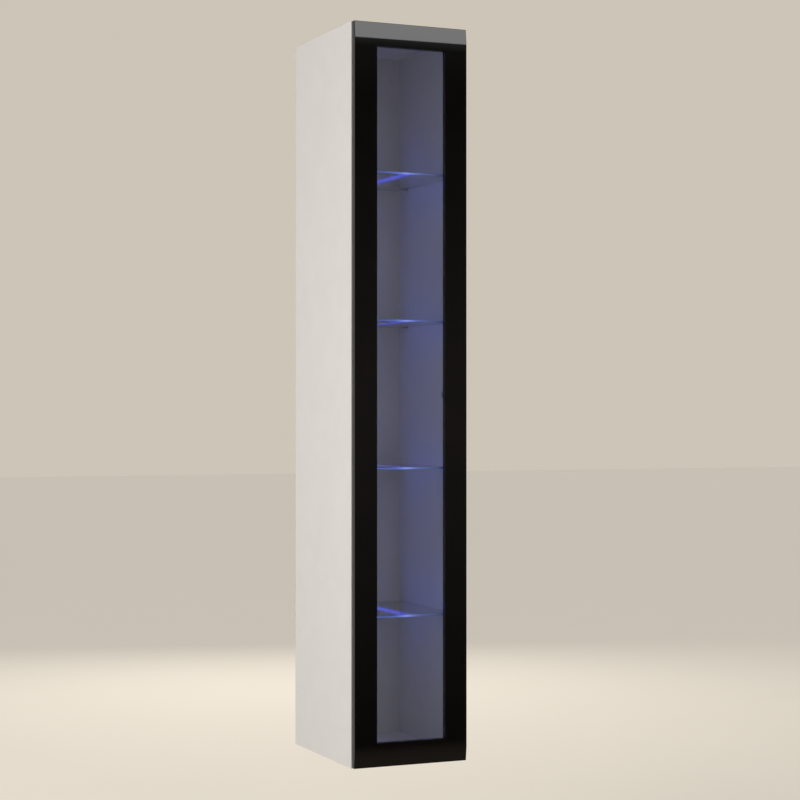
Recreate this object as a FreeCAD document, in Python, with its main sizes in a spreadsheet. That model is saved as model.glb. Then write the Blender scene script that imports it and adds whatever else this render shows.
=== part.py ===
"""Hanging wall cabinet with a framed glass door, glass shelves and shelf lights.

Row frame: X to the right seen from the front, +Y into the wall, +Z up. The origin is the
bottom centre of the whole cabinet. The door's front is at y = -cabinet_depth / 2 and the
wall is at y = +cabinet_depth / 2. Lengths are millimetres.
"""
import FreeCAD
import Part
import Sketcher
import math
import os

Vector = FreeCAD.Vector
Rotation = FreeCAD.Rotation

# ---------------------------------------------------------------- driving dimensions

SIZES = [
    ("cabinet_width", 300, "overall width"),
    ("cabinet_depth", 400, "door front to wall"),
    ("cabinet_height", 1800, "overall height"),
    ("board", 16, "thickness of the carcass boards"),
    ("back_thick", 3, "thickness of the back panel"),
    ("cavity", 17, "space behind the back panel for the hanging gear"),
    ("groove_depth", 8, "depth of the back panel's groove"),
    ("groove_play", 0.2, "play on each face of the back panel"),
    ("edge_round", 0.8, "rounding of a board's long edges"),
    ("door_thick", 18, "thickness of the door frame"),
    ("door_gap", 2, "gap between the closed door and the carcass"),
    ("door_reveal", 1.5, "how far the door stays inside the cabinet's outline"),
    ("stile", 60, "from the cabinet's outline to the window, on all four sides"),
    ("bevel_height", 34, "height of the bevel along the door's top and bottom"),
    ("bevel_back", 4, "how far the bevel sets back at the door's edge"),
    ("pane_thick", 4, "thickness of the door's pane"),
    ("pane_lap", 8, "how far the pane laps behind the frame"),
    ("pane_play", 0.8, "play round the pane's edge"),
    ("tape_thick", 0.5, "thickness of the sealing tape"),
    ("shelf_thick", 5, "thickness of a glass shelf"),
    ("shelf_setback", 30, "door front to the shelf's front edge"),
    ("shelf_rear_gap", 8, "shelf's rear edge to the back panel"),
    ("shelf_side_gap", 1, "play at each end of a shelf"),
    ("pin_radius", 2.5, "radius of a shelf pin's shank"),
    ("pin_depth", 9, "depth of a shelf pin in the board"),
    ("pin_inset", 50, "shelf pins from the carcass's front and back panel"),
    ("cam_radius", 7.4, "radius of a cam lock"),
    ("cam_height", 12, "height of a cam lock"),
    ("cam_offset", 24, "cam lock's axis from the end of its panel"),
    ("cam_inset", 60, "cam locks from the carcass's front edge and back panel"),
    ("dowel_radius", 4, "radius of a wooden dowel"),
    ("dowel_length", 30, "length of a wooden dowel"),
    ("dowel_inset", 100, "dowels from the carcass's front edge and back panel"),
    ("cup_radius", 17.4, "radius of a hinge cup"),
    ("cup_depth", 11.4, "depth of a hinge cup"),
    ("cup_edge", 5, "wood left between a hinge cup and the door's edge"),
    ("hinge_inset", 110, "first and last hinge from the cabinet's ends"),
    ("clip_width", 50, "width of a shelf light's clip"),
    ("clip_height", 12, "height of a shelf light's clip"),
    ("clip_grip", 12, "how far a shelf light's clip grips the glass"),
    ("screw_radius", 1.75, "radius of a wood screw's thread"),
    ("latch_height", 900, "height of the push latch's axis"),
    ("rail_hole_radius", 3.25, "radius of the wall rail's screw holes"),
    ("rail_hole_spacing", 180, "distance between the wall rail's screw holes"),
]

doc = FreeCAD.newDocument("hanging_wall_cabinet")
sheet = doc.addObject("Spreadsheet::Sheet", "Sizes")
for row, (alias, number, meaning) in enumerate(SIZES, start=1):
    sheet.set(f"A{row}", alias)
    sheet.set(f"B{row}", str(number))
    sheet.set(f"C{row}", meaning)
    sheet.setAlias(f"B{row}", alias)
doc.recompute()


def size(alias):
    """Read one driving dimension from the sheet as a plain number."""
    return float(sheet.get(alias))


# Names for sums that several sub-parts share, as expressions over the sheet.
INNER_WIDTH = "(Sizes.cabinet_width - 2 * Sizes.board)"
BODY_DEPTH = "(Sizes.cabinet_depth - Sizes.door_thick - Sizes.door_gap)"
BACK_AT = f"({BODY_DEPTH} - Sizes.cavity - Sizes.back_thick)"
DOOR_WIDTH = "(Sizes.cabinet_width - 2 * Sizes.door_reveal)"
DOOR_HEIGHT = "(Sizes.cabinet_height - 2 * Sizes.door_reveal)"
STILE = "(Sizes.stile - Sizes.door_reveal)"
FRONT = "-Sizes.cabinet_depth / 2"
CARCASS_FRONT = f"({FRONT} + Sizes.door_thick + Sizes.door_gap)"

# The same places as numbers, for the pieces that are placed in code.
half_width = size("cabinet_width") / 2
inner_half = half_width - size("board")
height = size("cabinet_height")
wall_y = size("cabinet_depth") / 2
door_back_y = -wall_y + size("door_thick")
carcass_front_y = door_back_y + size("door_gap")
back_front_y = wall_y - size("cavity") - size("back_thick")
back_rear_y = wall_y - size("cavity")
shelf_levels = [height * step / 5 for step in (1, 2, 3, 4)]
hinge_step = (height - 2 * size("hinge_inset")) / 3
hinge_levels = [size("hinge_inset") + hinge_step * step for step in range(4)]

# ---------------------------------------------------------------- sketch and feature helpers


def new_body(label, base=("0", "0", "0")):
    """Add an empty body whose corner stands at three expressions."""
    body = doc.addObject("PartDesign::Body", label)
    body.Label = label
    for axis, place in zip("xyz", base):
        body.setExpression(f"Placement.Base.{axis}", place)
    return body


def new_sketch(body, name, role, offset=None):
    """Add a sketch on one of the body's own origin planes, moved along its normal."""
    sketch = body.newObject("Sketcher::SketchObject", name)
    plane = next(item for item in body.Origin.OriginFeatures if item.Role == role)
    sketch.AttachmentSupport = [(plane, "")]
    sketch.MapMode = "FlatFace"
    if offset is not None:
        sketch.setExpression("AttachmentOffset.Base.z", offset)
    return sketch


def pin_point(sketch, geometry, vertex, x, y):
    """Fix one vertex of a sketch at two expressions, measured from its origin."""
    for kind, place in (("DistanceX", x), ("DistanceY", y)):
        index = sketch.addConstraint(Sketcher.Constraint(kind, -1, 1, geometry, vertex, 1.0))
        sketch.setExpression(f"Constraints[{index}]", place)


def add_outline(sketch, corners):
    """Draw a closed outline of straight lines through corners given as expressions."""
    count = len(corners)
    first = sketch.GeometryCount
    ring = [Vector(math.cos(2 * math.pi * k / count), math.sin(2 * math.pi * k / count), 0)
            for k in range(count)]
    for k in range(count):
        sketch.addGeometry(Part.LineSegment(ring[k], ring[(k + 1) % count]), False)
    for k in range(count):
        sketch.addConstraint(Sketcher.Constraint("Coincident", first + k, 2, first + (k + 1) % count, 1))
    for k, (x, y) in enumerate(corners):
        pin_point(sketch, first + k, 1, x, y)


def add_rectangle(sketch, x_low, y_low, x_high, y_high):
    """Draw a rectangle between two corners given as expressions."""
    add_outline(sketch, [(x_low, y_low), (x_high, y_low), (x_high, y_high), (x_low, y_high)])


def add_circles(sketch, centres, radius):
    """Draw one circle of the given radius at each centre."""
    for x, y in centres:
        geometry = sketch.addGeometry(Part.Circle(Vector(0, 0, 0), Vector(0, 0, 1), 1.0), False)
        pin_point(sketch, geometry, 3, x, y)
        index = sketch.addConstraint(Sketcher.Constraint("Radius", geometry, 1.0))
        sketch.setExpression(f"Constraints[{index}]", radius)


def pad(body, sketch, length):
    """Extrude a sketch along its normal."""
    feature = body.newObject("PartDesign::Pad", f"{sketch.Name}_pad")
    feature.Profile = sketch
    feature.setExpression("Length", length)
    sketch.Visibility = False
    body.Tip = feature
    return feature


def cut(body, sketch, depth=None, along_normal=True):
    """Cut a sketch into the body, to a depth or right through it."""
    feature = body.newObject("PartDesign::Pocket", f"{sketch.Name}_cut")
    feature.Profile = sketch
    feature.Reversed = along_normal
    if depth is None:
        feature.Type = "ThroughAll"
    else:
        feature.setExpression("Length", depth)
    body.Tip = feature
    return feature


def drill(body, name, role, offset, centres, radius, depth, along_normal=True):
    """Drill equal round holes from an offset origin plane."""
    sketch = new_sketch(body, name, role, offset)
    add_circles(sketch, centres, radius)
    return cut(body, sketch, depth, along_normal)


def round_edges(body, radius, wanted):
    """Round the edges of the body's tip whose middle point passes the test."""
    doc.recompute()
    before = body.Tip
    names = [f"Edge{number}" for number, edge in enumerate(before.Shape.Edges, start=1)
             if wanted(edge, edge.CenterOfMass)]
    feature = body.newObject("PartDesign::Fillet", f"{body.Name}_rounding")
    feature.Base = (before, names)
    feature.setExpression("Radius", radius)
    body.Tip = feature
    return feature


def board_body(label, length, width, thick, base):
    """Make a rectangular piece from its corner: length on X, width on Y, thick on Z."""
    body = new_body(label, base)
    sketch = new_sketch(body, f"{label}_outline", "XY_Plane")
    add_rectangle(sketch, "0", "0", length, width)
    pad(body, sketch, thick)
    return body


def turned_body(label, profile):
    """Turn a closed profile of (radius, height) expressions about the Z axis."""
    body = new_body(label)
    sketch = new_sketch(body, f"{label}_profile", "XZ_Plane")
    add_outline(sketch, profile)
    feature = body.newObject("PartDesign::Revolution", f"{label}_turned")
    feature.Profile = sketch
    feature.ReferenceAxis = (sketch, ["V_Axis"])
    feature.Angle = 360
    body.Tip = feature
    return body


def group(label, copies):
    """Make one node from separate solids."""
    node = doc.addObject("Part::Feature", label)
    node.Label = label
    node.Shape = Part.makeCompound(copies)
    return node


def placed(shape, x, y, z, rotation=Rotation()):
    """Copy a shape turned about its own origin and moved to a point."""
    copy = shape.copy()
    copy.Placement = FreeCAD.Placement(Vector(x, y, z), rotation)
    return copy


def block(x_low, y_low, z_low, x_high, y_high, z_high):
    """Make a box between two corners."""
    return Part.makeBox(x_high - x_low, y_high - y_low, z_high - z_low, Vector(x_low, y_low, z_low))


def rod(radius, start, direction, length):
    """Make a cylinder from a start point along a direction."""
    return Part.makeCylinder(radius, length, start, direction)


X_AXIS = Vector(1, 0, 0)
Y_AXIS = Vector(0, 1, 0)
Z_AXIS = Vector(0, 0, 1)
POINTING_LEFT = Rotation(Y_AXIS, -90)
POINTING_RIGHT = Rotation(Y_AXIS, 90)
POINTING_BACK = Rotation(X_AXIS, -90)
INWARD = {-1: POINTING_RIGHT, 1: POINTING_LEFT}

# ---------------------------------------------------------------- carcass boards

CAM_ROWS = ["Sizes.cam_inset", f"{BACK_AT} - Sizes.cam_inset"]
DOWEL_ROWS = ["Sizes.dowel_inset", f"{BACK_AT} - Sizes.dowel_inset"]
PIN_ROWS = ["Sizes.pin_inset", f"{BACK_AT} - Sizes.pin_inset"]
LEVEL_TOP = "(Sizes.cabinet_height - Sizes.board / 2)"
LEVEL_BOTTOM = "Sizes.board / 2"
PIN_LEVELS = [f"Sizes.cabinet_height * {step} / 5 - Sizes.shelf_thick / 2 - 3" for step in (1, 2, 3, 4)]
HINGE_LEVELS = [f"Sizes.hinge_inset + (Sizes.cabinet_height - 2 * Sizes.hinge_inset) * {step} / 3"
                for step in range(4)]
PLATE_SETBACK = "37"
PLATE_HALF_SPACING = "16"
LATCH_SCREW_ROW = "35"
HANGER_SCREW_LEVELS = ["Sizes.cabinet_height - 112", "Sizes.cabinet_height - 96"]
HANGER_SCREW_ROW = f"{BODY_DEPTH} - 12"


def side_panel(label, base_x, inner_face, inward, extra_holes):
    """Make a side board with its groove and its holes on the inner face.

    inner_face is the inner face's place across the board, inward whether +X leads into it.
    extra_holes lists (name, centres, radius, depth) for this side's own fittings.
    """
    base = (base_x, CARCASS_FRONT, "0")
    body = board_body(label, "Sizes.board", BODY_DEPTH, "Sizes.cabinet_height", base)
    round_edges(body, "Sizes.edge_round", lambda edge, middle: edge.Length > 100
                and abs(edge.tangentAt(edge.FirstParameter).z) < 0.5)
    groove = new_sketch(body, f"{label}_groove", "XY_Plane")
    low, high = "Sizes.board - Sizes.groove_depth", "Sizes.board"
    if inward:
        low, high = "0", "Sizes.groove_depth"
    add_rectangle(groove, low, f"{BACK_AT} - Sizes.groove_play", high,
                  f"{BACK_AT} + Sizes.back_thick + Sizes.groove_play")
    cut(body, groove)
    joints = (LEVEL_BOTTOM, LEVEL_TOP)
    holes = [
        ("bolt_holes", [(y, z) for y in CAM_ROWS for z in joints], "3", "11.2"),
        ("dowel_holes", [(y, z) for y in DOWEL_ROWS for z in joints], "Sizes.dowel_radius + 0.05", "10.5"),
        ("pin_holes", [(y, z) for y in PIN_ROWS for z in PIN_LEVELS], "Sizes.pin_radius + 0.05",
         "Sizes.pin_depth + 0.3"),
        ("hanger_holes", [(HANGER_SCREW_ROW, z) for z in HANGER_SCREW_LEVELS], "Sizes.screw_radius + 0.05",
         "13"),
    ]
    for name, centres, radius, depth in holes + extra_holes:
        drill(body, f"{label}_{name}", "YZ_Plane", inner_face, centres, radius, depth, inward)
    return body


hinge_holes = [(PLATE_SETBACK, f"{z} {sign} {PLATE_HALF_SPACING}") for z in HINGE_LEVELS for sign in "+-"]
side_panel("side_panel_left", "-Sizes.cabinet_width / 2", "Sizes.board", False,
           [("hinge_holes", hinge_holes, "Sizes.screw_radius + 0.05", "13.3")])
latch_holes = [(LATCH_SCREW_ROW, f"Sizes.latch_height {sign} 12") for sign in "+-"]
side_panel("side_panel_right", "Sizes.cabinet_width / 2 - Sizes.board", "0", True,
           [("latch_holes", latch_holes, "Sizes.screw_radius + 0.05", "13.3")])


def cross_panel(label, base_z, outer_face, groove_span, inward_up):
    """Make the top or bottom board, with cam bores from its hidden face and holes in its ends."""
    body = board_body(label, INNER_WIDTH, BODY_DEPTH, "Sizes.board",
                      (f"-{INNER_WIDTH} / 2", CARCASS_FRONT, base_z))
    groove = new_sketch(body, f"{label}_groove", "YZ_Plane")
    add_rectangle(groove, f"{BACK_AT} - Sizes.groove_play", groove_span[0],
                  f"{BACK_AT} + Sizes.back_thick + Sizes.groove_play", groove_span[1])
    cut(body, groove)
    ends = ("Sizes.cam_offset", f"{INNER_WIDTH} - Sizes.cam_offset")
    drill(body, f"{label}_cam_bores", "XY_Plane", outer_face, [(x, y) for x in ends for y in CAM_ROWS],
          "Sizes.cam_radius + 0.1", "Sizes.cam_height + 1.2", inward_up)
    for name, rows, radius, depth in (("bolt_bores", CAM_ROWS, "4", "Sizes.cam_offset"),
                                      ("dowel_bores", DOWEL_ROWS, "Sizes.dowel_radius + 0.05", "20.5")):
        centres = [(y, "Sizes.board / 2") for y in rows]
        drill(body, f"{label}_left_{name}", "YZ_Plane", None, centres, radius, depth, True)
        drill(body, f"{label}_right_{name}", "YZ_Plane", INNER_WIDTH, centres, radius, depth, False)
    return body


bottom = cross_panel("bottom_panel", "0", None, ("Sizes.board - Sizes.groove_depth", "Sizes.board"), True)
notch = new_sketch(bottom, "cable_notch", "XY_Plane")
add_rectangle(notch, f"{INNER_WIDTH} / 2 - 7", f"{BODY_DEPTH} - 12", f"{INNER_WIDTH} / 2 + 7", BODY_DEPTH)
cut(bottom, notch)
cross_panel("top_panel", "Sizes.cabinet_height - Sizes.board", "Sizes.board", ("0", "Sizes.groove_depth"),
            False)

BACK_LAP = "(Sizes.groove_depth - 0.5)"
ACCESS_X = 111.5
ACCESS_BELOW_TOP = 72
back = board_body("back_panel", f"{INNER_WIDTH} + 2 * {BACK_LAP}", "Sizes.back_thick",
                  f"Sizes.cabinet_height - 2 * Sizes.board + 2 * {BACK_LAP}",
                  (f"-{INNER_WIDTH} / 2 - {BACK_LAP}", f"{CARCASS_FRONT} + {BACK_AT}",
                   f"Sizes.board - {BACK_LAP}"))
back_middle = f"{INNER_WIDTH} / 2 + {BACK_LAP}"
back_bottom = f"(Sizes.board - {BACK_LAP})"
cable_holes = [(back_middle, f"Sizes.cabinet_height * {step} / 5 - {back_bottom}") for step in (1, 2, 3, 4)]
access_level = f"Sizes.cabinet_height - {ACCESS_BELOW_TOP} - {back_bottom}"
access_holes = [(f"{back_middle} {sign} {ACCESS_X}", access_level) for sign in "+-"]
drill(back, "cable_holes", "XZ_Plane", None, cable_holes, "4", None, False)
drill(back, "access_holes", "XZ_Plane", None, access_holes, "4", None, False)

# ---------------------------------------------------------------- carcass fittings

cam = turned_body("cam_lock", [("0", "0"), ("Sizes.cam_radius", "0"),
                               ("Sizes.cam_radius", "Sizes.cam_height"), ("0", "Sizes.cam_height")])
mouth = new_sketch(cam, "cam_mouth", "YZ_Plane", "-3")
add_circles(mouth, [("0", "Sizes.board / 2 - 1.2")], "3.9")
cut(cam, mouth, None, True)
slot = new_sketch(cam, "cam_slot", "XY_Plane")
add_rectangle(slot, "-4", "-0.8", "4", "0.8")
cut(cam, slot, "2.5", True)
bolt = turned_body("cam_bolt", [("0", "-11"), ("2.9", "-10"), ("2.9", "0"), ("3.7", "0"),
                                ("3.7", "1.5"), ("2.5", "1.5"), ("2.5", "20"),
                                ("3.5", "21"), ("3.5", "25"), ("0", "25.5")])
dowel = turned_body("dowel", [("0", "0"), ("Sizes.dowel_radius - 1", "0"),
                              ("Sizes.dowel_radius", "1"), ("Sizes.dowel_radius", "Sizes.dowel_length - 1"),
                              ("Sizes.dowel_radius - 1", "Sizes.dowel_length"), ("0", "Sizes.dowel_length")])
cap = turned_body("cam_cap", [("0", "0"), ("Sizes.cam_radius - 0.3", "0"), ("Sizes.cam_radius", "0.3"),
                              ("Sizes.cam_radius", "1"), ("0", "1")])
screw = turned_body("wood_screw", [("0", "-15"), ("Sizes.screw_radius", "-12.5"),
                                   ("Sizes.screw_radius", "0"), ("3.3", "0"), ("2.8", "1.6"),
                                   ("1", "2"), ("0", "1")])
small_screw = turned_body("small_screw", [("0", "-9"), ("1.2", "-7.5"), ("1.2", "0"),
                                          ("2.3", "0"), ("2", "0.9"), ("0.8", "1.1"),
                                          ("0", "0.5")])

pin = new_body("shelf_pin")
shank = new_sketch(pin, "pin_shank", "YZ_Plane", "-Sizes.pin_depth")
add_circles(shank, [("0", "0")], "Sizes.pin_radius")
pad(pin, shank, "Sizes.pin_depth + 1")
tongue = new_sketch(pin, "pin_tongue", "YZ_Plane")
add_rectangle(tongue, "-5", "0.2", "5", "2.2")
pad(pin, tongue, "11")
pad_piece = board_body("shelf_pad_piece", "9", "8", "0.8", ("0", "0", "0"))
doc.recompute()

cam_x = inner_half - size("cam_offset")
cam_ys = [carcass_front_y + size("cam_inset"), back_front_y - size("cam_inset")]
dowel_ys = [carcass_front_y + size("dowel_inset"), back_front_y - size("dowel_inset")]
pin_ys = [carcass_front_y + size("pin_inset"), back_front_y - size("pin_inset")]
joint_levels = [size("board") / 2, height - size("board") / 2]
cam_seat = size("cam_height") + 1.2


def cam_set(z, side, y):
    """Place one cam lock: below the bottom panel or above the top panel, mouth to the side board."""
    if z < height / 2:
        return placed(cam.Shape, side * cam_x, y, cam_seat - size("cam_height"),
                      Rotation(Z_AXIS, 0 if side > 0 else 180))
    flip = Rotation(X_AXIS, 180)
    turn = Rotation(Z_AXIS, 0 if side > 0 else 180)
    return placed(cam.Shape, side * cam_x, y, height - cam_seat + size("cam_height"), turn.multiply(flip))


corners = [(z, side, y) for z in joint_levels for side in (-1, 1) for y in cam_ys]
group("cam_locks", [cam_set(*corner) for corner in corners])
group("cam_bolts", [placed(bolt.Shape, side * inner_half, y, z, INWARD[side]) for z, side, y in corners])
group("cam_caps", [placed(cap.Shape, side * cam_x, y, 0 if z < height / 2 else height - 1)
                   for z, side, y in corners])
group("dowels", [placed(dowel.Shape, side * (inner_half + 10), y, z, INWARD[side])
                 for z in joint_levels for side in (-1, 1) for y in dowel_ys])
pin_places = [(side, y, z - size("shelf_thick") / 2 - 3)
              for z in shelf_levels for side in (-1, 1) for y in pin_ys]
group("shelf_pins", [placed(pin.Shape, side * inner_half, y, z, Rotation(Z_AXIS, 0 if side < 0 else 180))
                     for side, y, z in pin_places])
PAD_START = {-1: 1.5, 1: -10.5}
group("shelf_pads", [placed(pad_piece.Shape, inner_half * side + PAD_START[side], y - 4, z + 2.2)
                     for side, y, z in pin_places])

# ---------------------------------------------------------------- glass shelves and their lights

SHELF_DEPTH = (f"({CARCASS_FRONT} + {BACK_AT} - Sizes.shelf_rear_gap - ({FRONT} + Sizes.shelf_setback))")
for number in (1, 2, 3, 4):
    shelf = board_body(f"glass_shelf_{number}", f"{INNER_WIDTH} - 2 * Sizes.shelf_side_gap", SHELF_DEPTH,
                       "Sizes.shelf_thick",
                       (f"-{INNER_WIDTH} / 2 + Sizes.shelf_side_gap", f"{FRONT} + Sizes.shelf_setback",
                        f"Sizes.cabinet_height * {number} / 5 - Sizes.shelf_thick / 2"))
    round_edges(shelf, "0.6", lambda edge, middle: abs(edge.tangentAt(edge.FirstParameter).x) > 0.5)

clip_y = back_front_y - size("shelf_rear_gap") - size("clip_grip")
clip_length = size("shelf_rear_gap") + size("clip_grip") - 0.3
half_clip = size("clip_width") / 2
clip_half_height = size("clip_height") / 2
jaw = size("shelf_thick") / 2 + 0.1


def light_clip(level):
    """Make the U-shaped clip that grips a shelf's rear edge and holds the light module."""
    shell = block(-half_clip, clip_y, level - clip_half_height, half_clip, clip_y + clip_length,
                  level + clip_half_height)
    shell = shell.makeFillet(1.0, [edge for edge in shell.Edges if abs(edge.tangentAt(0).x) > 0.5])
    shell = shell.cut(block(-half_clip, clip_y - 1, level - jaw, half_clip, clip_y + size("clip_grip") + 4,
                            level + jaw))
    shell = shell.cut(rod(2.5, Vector(0, clip_y, level), Y_AXIS, clip_length + 1))
    for x in (-15, 15):
        hole = rod(1.55, Vector(x, clip_y + 6, level - clip_half_height), Z_AXIS, clip_half_height - jaw)
        shell = shell.cut(hole)
    return shell


for number, level in enumerate(shelf_levels, start=1):
    group(f"light_clip_{number}", [light_clip(level)])
module_y = clip_y + size("clip_grip") + 0.3
group("light_modules", [block(-20, module_y, level - jaw + 0.2, 20, module_y + 3.4, level + jaw - 0.2)
                        for level in shelf_levels])
group("clip_screws", [rod(1.5, Vector(x, clip_y + 6, level - clip_half_height + 0.2), Z_AXIS,
                          clip_half_height - jaw - 0.2) for level in shelf_levels for x in (-15, 15)])
grommet = turned_body("grommet_piece", [("2.5", "-3"), ("3.95", "-3"), ("3.95", "0"),
                                        ("5.5", "0"), ("5.5", "1"), ("2.5", "1")])
doc.recompute()
group("cable_grommets", [placed(grommet.Shape, 0, back_rear_y, level, POINTING_BACK)
                         for level in shelf_levels])

distributor = block(-30, back_rear_y + 1, 60, 30, back_rear_y + 11, 84)
for step in range(6):
    socket_x = -27 + 9.6 * step
    distributor = distributor.cut(block(socket_x, back_rear_y + 3, 76, socket_x + 6, back_rear_y + 9, 85))
group("light_distributor", [distributor])
group("distributor_pad", [block(-25, back_rear_y, 62, 25, back_rear_y + 1, 82)])

# ---------------------------------------------------------------- door

door = new_body("door_frame", ("-Sizes.cabinet_width / 2 + Sizes.door_reveal", FRONT, "Sizes.door_reveal"))
profile = new_sketch(door, "door_section", "YZ_Plane")
add_outline(profile, [("0", "Sizes.bevel_height"), ("Sizes.bevel_back", "0"), ("Sizes.door_thick", "0"),
                      ("Sizes.door_thick", DOOR_HEIGHT), ("Sizes.bevel_back", DOOR_HEIGHT),
                      ("0", f"{DOOR_HEIGHT} - Sizes.bevel_height")])
pad(door, profile, DOOR_WIDTH)
round_edges(door, "1.2", lambda edge, middle: middle.y < 4.5 and (
    abs(edge.tangentAt(edge.FirstParameter).x) < 0.5
    or middle.z < 1 or middle.z > height - 2 * size("door_reveal") - 1))
window = new_sketch(door, "door_window", "XZ_Plane")
add_rectangle(window, STILE, STILE, f"{DOOR_WIDTH} - {STILE}", f"{DOOR_HEIGHT} - {STILE}")
cut(door, window, None, False)
window_low = size("stile") - size("door_reveal")
door_width = size("cabinet_width") - 2 * size("door_reveal")
door_height = height - 2 * size("door_reveal")


def at_window_front(edge, middle):
    """True for the four front edges of the window opening."""
    inside_x = window_low - 1 < middle.x < door_width - window_low + 1
    inside_z = window_low - 1 < middle.z < door_height - window_low + 1
    return middle.y < 0.01 and inside_x and inside_z


round_edges(door, "0.6", at_window_front)
rebate = new_sketch(door, "pane_rebate", "XZ_Plane", "-Sizes.door_thick")
add_rectangle(rebate, f"{STILE} - Sizes.pane_lap", f"{STILE} - Sizes.pane_lap",
              f"{DOOR_WIDTH} - {STILE} + Sizes.pane_lap", f"{DOOR_HEIGHT} - {STILE} + Sizes.pane_lap")
cut(door, rebate, "Sizes.pane_thick + Sizes.tape_thick", True)
DOOR_HINGE_LEVELS = [f"{level} - Sizes.door_reveal" for level in HINGE_LEVELS]
CUP_X = "Sizes.cup_edge + Sizes.cup_radius + 0.1"
drill(door, "cup_bores", "XZ_Plane", "-Sizes.door_thick", [(CUP_X, z) for z in DOOR_HINGE_LEVELS],
      "Sizes.cup_radius + 0.1", "Sizes.cup_depth + 0.2", True)
cup_screws = [(f"{CUP_X} + 9.5", f"{z} {sign} 22.5") for z in DOOR_HINGE_LEVELS for sign in "+-"]
drill(door, "cup_screw_holes", "XZ_Plane", "-Sizes.door_thick", cup_screws, "Sizes.screw_radius + 0.05",
      "14.5", True)
strike_screws = [(f"{DOOR_WIDTH} - 21", f"Sizes.latch_height - Sizes.door_reveal {sign} 11")
                 for sign in "+-"]
drill(door, "strike_screw_holes", "XZ_Plane", "-Sizes.door_thick", strike_screws, "1.25", "10", True)

CLIP_STEPS = 5
clip_levels = [size("stile") + 60 + (height - 2 * size("stile") - 120) * step / (CLIP_STEPS - 1)
               for step in range(CLIP_STEPS)]
clip_screw_x = half_width - size("stile") + size("pane_lap") + 5
clip_holes = [(f"{DOOR_WIDTH} / 2 {sign} {clip_screw_x}", f"{level - size('door_reveal')}")
              for level in clip_levels for sign in "+-"]
drill(door, "clip_screw_holes", "XZ_Plane", "-Sizes.door_thick", clip_holes, "1.25", "9.5", True)

PANE_EDGE = f"({STILE} - Sizes.pane_lap + Sizes.pane_play)"
board_body("door_pane", f"{DOOR_WIDTH} - 2 * {PANE_EDGE}", "Sizes.pane_thick",
           f"{DOOR_HEIGHT} - 2 * {PANE_EDGE}",
           (f"-{DOOR_WIDTH} / 2 + {PANE_EDGE}", f"{FRONT} + Sizes.door_thick - Sizes.pane_thick",
            f"Sizes.door_reveal + {PANE_EDGE}"))
tape = new_body("pane_tape", (f"-{DOOR_WIDTH} / 2", f"{FRONT} + Sizes.door_thick - Sizes.pane_thick",
                              "Sizes.door_reveal"))
ring = new_sketch(tape, "tape_ring", "XZ_Plane")
add_rectangle(ring, f"{STILE} - 6", f"{STILE} - 6", f"{DOOR_WIDTH} - {STILE} + 6",
              f"{DOOR_HEIGHT} - {STILE} + 6")
add_rectangle(ring, f"{STILE} - 1", f"{STILE} - 1", f"{DOOR_WIDTH} - {STILE} + 1",
              f"{DOOR_HEIGHT} - {STILE} + 1")
pad(tape, ring, "Sizes.tape_thick")
doc.recompute()

pane_clips = []
pane_clip_screws = []
for level in clip_levels:
    for side in (-1, 1):
        x = side * clip_screw_x
        plate = block(min(x - 5, x - side * 11), door_back_y, level - 6, max(x + 5, x - side * 11),
                      door_back_y + 1.2, level + 6)
        plate = plate.cut(rod(1.3, Vector(x, door_back_y, level), Y_AXIS, 2))
        pane_clips.append(plate)
        pane_clip_screws.append(placed(small_screw.Shape, x, door_back_y + 1.2, level, POINTING_BACK))
group("pane_clips", pane_clips)
group("pane_clip_screws", pane_clip_screws)

strike_x = half_width - size("door_reveal") - 21
latch_z = size("latch_height")
strike = block(strike_x - 6, door_back_y, latch_z - 17, strike_x + 6, door_back_y + 1, latch_z + 17)
strike = strike.makeFillet(3, [edge for edge in strike.Edges if abs(edge.tangentAt(0).y) > 0.5])
for dz in (-11, 11):
    strike = strike.cut(rod(1.3, Vector(strike_x, door_back_y, latch_z + dz), Y_AXIS, 2))
group("strike_plate", [strike])
strike_head = small_screw.Shape.common(rod(5, Vector(0, 0, -20), Z_AXIS, 20.7))
group("strike_screws", [placed(strike_head, strike_x, door_back_y + 1, latch_z + dz, POINTING_BACK)
                        for dz in (-11, 11)])
bumper_x = half_width - size("board") / 2
group("door_bumpers", [Part.makeCone(4, 3, size("door_gap") - 0.3, Vector(bumper_x, door_back_y, z), Y_AXIS)
                       for z in (40, height / 2 + 300, height - 40)])

# ---------------------------------------------------------------- hinges

# Places of the hinge's four pivots with the door closed, seen from above.
CUP_CENTRE_X = -half_width + size("door_reveal") + size("cup_edge") + size("cup_radius") + 0.1
ARM_OUTER_PIVOT = (-109.0, -162.0)
ARM_INNER_PIVOT = (-123.3, -188.8)
CUP_OUTER_PIVOT = (-139.4, -184.0)
CUP_INNER_PIVOT = (-137.7, -189.25)
OUTER_ELBOW = (-126.0, -181.0)
PIVOT_RADIUS = 0.9
RUNNING_PLAY = 0.05


def post(centre, radius, z_low, z_high):
    """Make an upright cylinder at an (x, y) place between two heights."""
    return rod(radius, Vector(centre[0], centre[1], z_low), Z_AXIS, z_high - z_low)


def strip(start, end, half, z_low, z_high):
    """Make an upright plate of a given half thickness between two (x, y) places."""
    dx, dy = end[0] - start[0], end[1] - start[1]
    length = math.hypot(dx, dy)
    nx, ny = -dy / length * half, dx / length * half
    outline = [Vector(start[0] + nx, start[1] + ny, z_low), Vector(end[0] + nx, end[1] + ny, z_low),
               Vector(end[0] - nx, end[1] - ny, z_low), Vector(start[0] - nx, start[1] - ny, z_low)]
    face = Part.Face(Part.makePolygon(outline + outline[:1]))
    return face.extrude(Vector(0, 0, z_high - z_low))


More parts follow.
